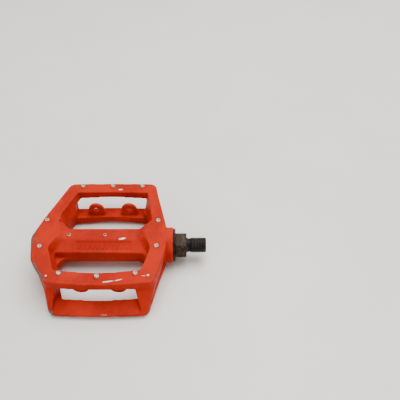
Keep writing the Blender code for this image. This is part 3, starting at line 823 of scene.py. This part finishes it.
def make_panel_ribs():
    """A plain row of slanted ribs on each barrel panel."""
    low, high = PANEL_X[0] + PANEL_RIB_MARGIN, PANEL_X[1] - PANEL_RIB_MARGIN
    ribs = [panel_rib(mix(low, high, number / (PANEL_RIBS - 1))) for number in range(PANEL_RIBS)]
    return make_object("panel_ribs", both_ways(ribs), split_angle=30.0)


# ================================================================ materials
class Surface:
    """A material whose node tree is built step by step."""

    def __init__(self, name):
        self.material = bpy.data.materials.new(name)
        self.material.use_nodes = True
        self.tree = self.material.node_tree
        self.shader = self.tree.nodes["Principled BSDF"]
        self.place = self.tree.nodes.new("ShaderNodeTexCoord").outputs["Object"]

    def node(self, kind, **inputs):
        """A node with some of its inputs set or linked."""
        made = self.tree.nodes.new(kind)
        for name, value in inputs.items():
            socket = made.inputs[name.replace("_", " ")]
            self.feed(socket, value)
        return made

    def feed(self, socket, value):
        """Link an output to the socket, or set its value."""
        if isinstance(value, bpy.types.NodeSocket):
            self.tree.links.new(value, socket)
        else:
            socket.default_value = value

    def noise(self, size, detail=3.0, roughness=0.55, stretch=(1.0, 1.0, 1.0)):
        """Noise with features of a size in millimetres."""
        mapping = self.node("ShaderNodeMapping", Vector=self.place, Scale=stretch)
        made = self.node("ShaderNodeTexNoise", Vector=mapping.outputs[0], Scale=1.0 / (size * MM),
                         Detail=detail, Roughness=roughness)
        return made.outputs["Fac"]

    def math(self, operation, first, second=0.0, third=0.0):
        """One arithmetic step."""
        made = self.tree.nodes.new("ShaderNodeMath")
        made.operation = operation
        for socket, value in zip(made.inputs, (first, second, third)):
            self.feed(socket, value)
        return made.outputs[0]

    def ramp(self, value, low, high, start=0.0, end=1.0):
        """The value's way from low to high, turned smoothly into start to end."""
        made = self.tree.nodes.new("ShaderNodeMapRange")
        made.interpolation_type = 'SMOOTHSTEP'
        for name, number in (("Value", value), ("From Min", low), ("From Max", high),
                             ("To Min", start), ("To Max", end)):
            self.feed(made.inputs[name], number)
        return made.outputs[0]

    def blend(self, part, first, second):
        """A colour between two colours."""
        made = self.tree.nodes.new("ShaderNodeMix")
        made.data_type = 'RGBA'
        self.feed(made.inputs["Factor"], part)
        for socket, value in ((made.inputs[6], first), (made.inputs[7], second)):
            if isinstance(value, tuple) and len(value) == 3:
                value = value + (1.0,)
            self.feed(socket, value)
        return made.outputs[2]

    def attribute(self, name):
        """A value stored on the mesh's points."""
        made = self.tree.nodes.new("ShaderNodeAttribute")
        made.attribute_name = name
        return made.outputs["Fac"]

    def bump(self, height, depth, strength=1.0, after=None):
        """A bump of a depth in millimetres, on top of another bump."""
        made = self.node("ShaderNodeBump", Height=height, Distance=depth * MM, Strength=strength)
        if after is not None:
            self.tree.links.new(after, made.inputs["Normal"])
        return made.outputs["Normal"]

    def finish(self, colour, roughness, metallic=0.0, normal=None, **plain):
        """Set the shader: linked looks first, then plain values by input name."""
        self.feed(self.shader.inputs["Base Color"], colour)
        self.feed(self.shader.inputs["Roughness"], roughness)
        self.feed(self.shader.inputs["Metallic"], metallic)
        if normal is not None:
            self.tree.links.new(normal, self.shader.inputs["Normal"])
        for name, value in plain.items():
            self.shader.inputs[name.replace("_", " ")].default_value = value
        return self.material


# Paint chips on the casting: middle x, y, z, half sizes along and across, and direction in
# degrees, in the cage's millimetres. Each goes CHIP_DEPTH deep, so it follows the surface.
PAINT_CHIPS = (
    ((7.0, 52.0, 12.9), (1.9, 0.8), 4.0),
    ((14.3, -1.6, 10.0), (2.9, 0.8), 9.0),
    ((8.8, -44.6, 13.0), (3.9, 0.55), 8.0),
    ((16.4, -43.4, 13.2), (2.5, 0.45), 14.0),
    ((38.2, -39.6, 14.0), (0.95, 0.85), 0.0),
    ((35.2, -40.3, 14.0), (1.6, 0.22), -4.0),
    ((-37.8, -40.2, 14.0), (0.8, 0.7), 0.0),
    ((4.5, -58.9, -13.0), (3.6, 0.5), 0.0),
    ((-35.3, -56.2, -12.6), (2.4, 1.2), 35.0),
    ((-38.0, -55.0, -13.0), (1.6, 1.2), 60.0),
    ((26.0, 4.0, -10.0), (2.6, 0.7), -20.0),
    ((-12.0, 43.0, -13.2), (4.2, 0.5), -9.0),
    ((30.0, 42.0, -14.0), (1.1, 0.9), 0.0),
)
CHIP_DEPTH = 3.0

# Regions whose edges are scuffed: middle, reach along x, y and z, in the cage's millimetres
SCUFFED_EDGES = (
    ((-57.0, -3.0, 12.5), (5.5, 19.0, 4.5)),
    ((-46.0, -37.0, 12.0), (10.0, 13.0, 5.5)),
    ((-38.0, -56.0, -12.0), (6.0, 7.0, 5.0)),
    ((-57.0, 4.0, -12.5), (6.0, 24.0, 5.0)),
)

# Faint scrapes in the paint: middle, reach along x, y and z, and direction in degrees
SCRAPES = (
    ((-52.4, -5.6, 13.8), (3.4, 1.0, 2.0), -50.0),
    ((-55.0, -9.0, 13.8), (2.4, 0.7, 2.0), -70.0),
    ((-49.5, -28.0, 13.8), (2.6, 0.7, 2.0), -62.0),
    ((-38.6, -43.4, 13.8), (2.0, 0.8, 2.0), -30.0),
    ((12.0, -57.0, -12.6), (5.0, 0.6, 2.0), 3.0),
    ((-20.0, -57.5, -12.6), (4.0, 0.5, 2.0), -2.0),
)

PAINT_LIT = (0.45, 0.0180, 0.0045)
PAINT_DEEP = (0.34, 0.0130, 0.0045)
PAINT_PALE = (0.49, 0.0280, 0.0070)
# Dark red painted into the casting's hollows as painted shade
PAINT_HOLLOW_SHADE = (0.20, 0.008, 0.004)
PRIMER = (0.80, 0.34, 0.24)
BARE_METAL = ((0.62, 0.55, 0.49), (0.86, 0.79, 0.71))
SCUFF_GREY = ((0.075, 0.055, 0.048), (0.19, 0.14, 0.115))
PIN_BRIGHT = ((0.28, 0.21, 0.16), (0.72, 0.61, 0.51))
PIN_DULL = ((0.10, 0.05, 0.04), (0.30, 0.20, 0.16))
RACE_GREY = ((0.34, 0.33, 0.33), (0.60, 0.60, 0.61))
BALL_GREY = ((0.62, 0.62, 0.64), (0.82, 0.82, 0.84))
RUST_BROWN = ((0.012, 0.006, 0.0035), (0.041, 0.022, 0.014))
RUST_FLECK = (0.12, 0.078, 0.056)
OILY_BLACK = ((0.004, 0.0035, 0.003), (0.022, 0.019, 0.018))
SCRATCH_GREY = (0.30, 0.23, 0.19)
# Pale grey painted on the thread's crests as a painted highlight
CREST_HIGHLIGHT_GREY = (0.034, 0.027, 0.024)
SEAL_BLACK = ((0.012, 0.010, 0.010), (0.06, 0.045, 0.04))
CAP_BLACK = ((0.009, 0.009, 0.009), (0.035, 0.031, 0.028))

# Distances from the axis between which a painted highlight brightens the thread's crests, in
# millimetres
CREST_HIGHLIGHT_RADII = (THREAD_RADIUS - 0.25, THREAD_RADIUS - 0.05)
# How far past the hexagon's end its rust fades out, in millimetres
RUST_FADE = (0.2, 1.4)


def ellipsoid(surface, middle, reach, turn=0.0):
    """How far a place is from an ellipsoid's middle, as a share of its size."""
    mapping = surface.tree.nodes.new("ShaderNodeMapping")
    mapping.vector_type = 'TEXTURE'
    surface.feed(mapping.inputs["Vector"], surface.place)
    x, y, z = middle
    mapping.inputs["Location"].default_value = ((x + PEDAL_X) * MM, y * MM, z * MM)
    mapping.inputs["Rotation"].default_value = (0.0, 0.0, math.radians(turn))
    mapping.inputs["Scale"].default_value = tuple(size * MM for size in reach)
    length = surface.tree.nodes.new("ShaderNodeVectorMath")
    length.operation = 'LENGTH'
    surface.feed(length.inputs[0], mapping.outputs[0])
    return length.outputs["Value"]


def nearest(surface, distances):
    """The smallest of several values."""
    smallest = distances[0]
    for distance in distances[1:]:
        smallest = surface.math('MINIMUM', smallest, distance)
    return smallest


def spread(surface, value, gain):
    """A noise value as a swing either side of nothing."""
    return surface.math('MULTIPLY', surface.math('SUBTRACT', value, 0.5), gain)


def paint_colour(surface, mottle, coarse, bend):
    """Red paint with deep and pale clouds, darkened in hollows by painted shade, and rubbed pale on
    edges.
    """
    cloud = surface.noise(22.0, 3.0)
    colour = surface.blend(surface.ramp(cloud, 0.36, 0.66), PAINT_DEEP, PAINT_LIT)
    colour = surface.blend(surface.ramp(mottle, 0.46, 0.72, 0.0, 0.30), colour, PAINT_PALE)
    # Painted shade: the paint turns darker where the skin bends inward
    hollow = surface.ramp(bend, -0.03, -0.22, 0.0, 0.35)
    colour = surface.blend(hollow, colour, PAINT_HOLLOW_SHADE)
    rubbed = surface.math('MULTIPLY', surface.ramp(bend, 0.10, 0.34), surface.ramp(coarse, 0.40, 0.62))
    return surface.blend(surface.math('MULTIPLY', rubbed, 0.42), colour, PAINT_PALE)


def scuff_share(surface, ragged, coarse, bend):
    """Where the paint is worn to grey: torn along scuffed edges, faint along scrapes."""
    scuffed = nearest(surface, [ellipsoid(surface, *place) for place in SCUFFED_EDGES])
    inside = surface.ramp(scuffed, 1.05, 0.75)
    edge = surface.math('MULTIPLY', surface.ramp(bend, 0.03, 0.14), inside)
    torn = surface.math('ADD', edge, spread(surface, coarse, 2.0))
    worn_edge = surface.math('MULTIPLY', surface.ramp(torn, 0.55, 0.80), surface.ramp(edge, 0.1, 0.4))
    scraped = nearest(surface, [ellipsoid(surface, *place) for place in SCRAPES])
    scraped = surface.math('ADD', scraped, spread(surface, ragged, 3.4))
    return surface.math('MAXIMUM', worn_edge, surface.ramp(scraped, 1.0, 0.7, 0.0, 0.6))


def chip_distance(surface, ragged):
    """How far a place is from the nearest paint chip, with a ragged outline."""
    distances = []
    for place, size, turn in PAINT_CHIPS:
        distances.append(ellipsoid(surface, place, (*size, CHIP_DEPTH), turn))
    return surface.math('ADD', nearest(surface, distances), spread(surface, ragged, 1.5))


def cast_paint():
    """Satin red paint on a rough casting, chipped and scuffed down to grey metal."""
    surface = Surface("cast_red_paint")
    mottle = surface.noise(3.2, 4.0, 0.6)
    ragged = surface.noise(0.9, 4.0, 0.65)
    coarse = surface.noise(2.6, 3.0, 0.6)
    bend = surface.attribute("edge_bend")
    colour = paint_colour(surface, mottle, coarse, bend)
    scuff = scuff_share(surface, ragged, coarse, bend)
    to_chip = chip_distance(surface, ragged)
    chip = surface.ramp(to_chip, 0.98, 0.86)
    rim = surface.ramp(to_chip, 1.22, 1.0)

    metal = surface.blend(surface.ramp(surface.noise(0.35, 2.0, 0.5), 0.35, 0.7), *BARE_METAL)
    grey = surface.blend(surface.ramp(ragged, 0.38, 0.62), *SCUFF_GREY)
    colour = surface.blend(surface.math('MULTIPLY', rim, 0.5), colour, PRIMER)
    colour = surface.blend(scuff, colour, grey)
    colour = surface.blend(chip, colour, metal)

    bare = surface.math('MAXIMUM', chip, scuff)
    shine = surface.ramp(mottle, 0.3, 0.75, 0.44, 0.60)
    roughness = surface.math('MULTIPLY_ADD', bare, 0.10, shine)
    metallic = surface.math('MULTIPLY', bare, 0.45)
    normal = surface.bump(surface.noise(6.0, 2.0), 0.10)
    normal = surface.bump(surface.noise(0.75, 2.0, 0.5), 0.035, 1.0, normal)
    normal = surface.bump(surface.math('MULTIPLY', bare, -1.0), 0.09, 1.0, normal)
    return surface.finish(colour, roughness, metallic, normal, Specular_IOR_Level=0.06)


def worn_steel(name, dark, bright, roughness=(0.25, 0.5), paint=None):
    """Plated steel with dull and bright patches, sometimes under a coat of paint."""
    surface = Surface(name)
    patch = surface.noise(0.9, 4.0, 0.6)
    fine = surface.noise(0.22, 2.0, 0.5)
    colour = surface.blend(surface.ramp(patch, 0.34, 0.62), dark, bright)
    metallic = 0.75
    if paint:
        covered = surface.ramp(patch, 0.62, 0.56)
        colour = surface.blend(covered, colour, paint)
        metallic = surface.math('MULTIPLY_ADD', covered, -0.75, 0.75)
    shine = surface.ramp(fine, 0.3, 0.7, *roughness)
    return surface.finish(colour, shine, metallic, surface.bump(fine, 0.012))


def thread_with_crest_highlight(surface, patch, fleck):
    """Oily black steel with a painted highlight on its thread crests."""
    black = surface.blend(surface.ramp(fleck, 0.45, 0.75), *OILY_BLACK)
    across = surface.node("ShaderNodeMapping", Vector=surface.place, Scale=(0.0, 1.0, 1.0))
    from_axis = surface.tree.nodes.new("ShaderNodeVectorMath")
    from_axis.operation = 'LENGTH'
    surface.feed(from_axis.inputs[0], across.outputs[0])
    # Painted highlight: the crests lighten with their distance from the axis, in patches
    crest = surface.ramp(from_axis.outputs["Value"], *[radius * MM for radius in CREST_HIGHLIGHT_RADII])
    rubbed = surface.math('MULTIPLY', crest, surface.ramp(patch, 0.35, 0.60, 0.3, 1.0))
    return surface.blend(rubbed, black, CREST_HIGHLIGHT_GREY)


def rusty_spindle():
    """Blackened steel: brown rust and dull metal on the hexagon, oily black on the thread."""
    surface = Surface("blackened_rusty_steel")
    patch = surface.noise(2.4, 5.0, 0.65)
    fleck = surface.noise(0.5, 3.0, 0.6)
    scratch = surface.noise(0.5, 2.0, 0.5, stretch=(1.0, 0.18, 0.18))
    brown = surface.blend(surface.ramp(patch, 0.36, 0.64), *RUST_BROWN)
    brown = surface.blend(surface.ramp(fleck, 0.55, 0.72, 0.0, 0.7), brown, RUST_FLECK)
    split = surface.node("ShaderNodeSeparateXYZ", Vector=surface.place)
    rust_start, rust_end = [(HEX_END + PEDAL_X + past) * MM for past in RUST_FADE]
    on_hex = surface.ramp(split.outputs["X"], rust_end, rust_start)
    colour = surface.blend(on_hex, thread_with_crest_highlight(surface, patch, fleck), brown)
    colour = surface.blend(surface.ramp(scratch, 0.62, 0.70, 0.0, 0.35), colour, SCRATCH_GREY)
    shine = surface.ramp(patch, 0.3, 0.7, 0.42, 0.72)
    metallic = surface.ramp(patch, 0.3, 0.7, 0.35, 0.10)
    return surface.finish(colour, shine, metallic, surface.bump(fleck, 0.05), Specular_IOR_Level=0.18)


def plain_moulding(name, dark, pale, size, roughness):
    """Rubber or moulded plastic with a little dust."""
    surface = Surface(name)
    dust = surface.noise(size, 4.0, 0.6)
    fine = surface.noise(0.3, 2.0, 0.5)
    colour = surface.blend(surface.ramp(dust, 0.48, 0.75, 0.0, 0.6), dark, pale)
    shine = surface.ramp(fine, 0.3, 0.7, *roughness)
    return surface.finish(colour, shine, 0.0, surface.bump(fine, 0.02), Specular_IOR_Level=0.22)


def paint_with(material, *objects):
    """Give each object one material."""
    for painted in objects:
        painted.data.materials.clear()
        painted.data.materials.append(material)


# ================================================================ the stage
FLOOR_REACH = 3.0
FLOOR_GAP = 0.0001
FLOOR_PALE = ((0.775, 0.755, 0.720), (0.805, 0.785, 0.750))
# Soft square lights turned to the pedal: name, place, side and power
SOFT_LIGHTS = (
    ("overhead", (0.25, 0.26, 1.10), 1.0, 21.5),
    ("front_fill", (-0.7, -1.2, 0.9), 1.0, 4.0),
)
WORLD_COLOUR = (1.0, 0.975, 0.935, 1.0)
WORLD_STRENGTH = 0.80
CAMERA_PLACE = (0.065, -0.2426, 0.3046)
CAMERA_DOWN = 46.0
CAMERA_LENS = 42.3
SENSOR_WIDTH = 36.0
NEAREST_SEEN = 0.01


def make_floor():
    """A pale table top under the pins."""
    bm = bmesh.new()
    bmesh.ops.create_grid(bm, x_segments=2, y_segments=2, size=FLOOR_REACH)
    mesh = bpy.data.meshes.new("table_top")
    bm.to_mesh(mesh)
    bm.free()
    floor = bpy.data.objects.new("table_top", mesh)
    bpy.context.scene.collection.objects.link(floor)
    floor.location.z = cad_box[0].z - FLOOR_GAP
    surface = Surface("pale_table")
    cloud = surface.noise(90.0, 3.0)
    colour = surface.blend(surface.ramp(cloud, 0.3, 0.7), *FLOOR_PALE)
    paint_with(surface.finish(colour, 0.42, 0.0), floor)


def soft_light(name, place, size, power):
    """A square soft light at a place, turned to the pedal."""
    lamp = bpy.data.lights.new(name, 'AREA')
    lamp.shape = 'SQUARE'
    lamp.size = size
    lamp.energy = power
    made = bpy.data.objects.new(name, lamp)
    bpy.context.scene.collection.objects.link(made)
    made.location = place
    made.rotation_euler = (-Vector(place)).to_track_quat('-Z', 'Y').to_euler()


def make_stage():
    """Floor, soft light and the camera."""
    make_floor()
    for light in SOFT_LIGHTS:
        soft_light(*light)
    world = bpy.data.worlds.new("studio")
    bpy.context.scene.world = world
    world.use_nodes = True
    background = world.node_tree.nodes["Background"]
    background.inputs["Color"].default_value = WORLD_COLOUR
    background.inputs["Strength"].default_value = WORLD_STRENGTH
    data = bpy.data.cameras.new("camera")
    data.lens = CAMERA_LENS
    data.sensor_width = SENSOR_WIDTH
    data.clip_start = NEAREST_SEEN
    camera = bpy.data.objects.new("camera", data)
    bpy.context.scene.collection.objects.link(camera)
    camera.location = CAMERA_PLACE
    camera.rotation_euler = (math.radians(90.0 - CAMERA_DOWN), 0.0, 0.0)
    bpy.context.scene.camera = camera


# ================================================================ put together
def dress_frame():
    """Materials for the frame's own hidden pieces."""
    ground = worn_steel("ground_race_steel", *RACE_GREY, (0.18, 0.34))
    polished = worn_steel("polished_ball_steel", *BALL_GREY, (0.06, 0.14))
    for name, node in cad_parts.items():
        if "_ball_" in name:
            paint_with(polished, node)
        elif name in ("inboard_cup", "outboard_cup", "adjusting_cone", "keyed_washer", "lock_nut"):
            paint_with(ground, node)


def main():
    """Build every piece and put it on its body."""
    paint = cast_paint()
    cage = make_cage()
    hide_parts("pedal_cage")
    ribs = make_panel_ribs()
    paint_with(paint, cage, ribs)
    pins = make_pins()
    bright = worn_steel("bright_pin_steel", *PIN_BRIGHT)
    daubed = worn_steel("painted_pin_steel", *PIN_DULL, paint=PAINT_DEEP)
    paint_with(bright, *pins)
    paint_with(daubed, *[pin for pin in pins if pin.name.endswith("top_barrel_3")])
    seal = make_seal()
    paint_with(plain_moulding("seal_rubber", *SEAL_BLACK, 2.0, (0.45, 0.7)), seal)
    cap = make_dust_cap()
    paint_with(plain_moulding("cap_plastic", *CAP_BLACK, 3.0, (0.35, 0.6)), cap)
    spindle = make_spindle()
    paint_with(rusty_spindle(), spindle)
    dress_frame()
    slots = ((cage, "red_paint"), (ribs, "red_paint"), (seal, "seal_rubber"), (cap, "dust_cap"))
    for piece, slot in slots:
        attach(piece, "cage")
    for pin in pins:
        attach(pin, "cage")
    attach(spindle, "spindle")
    make_stage()


main()
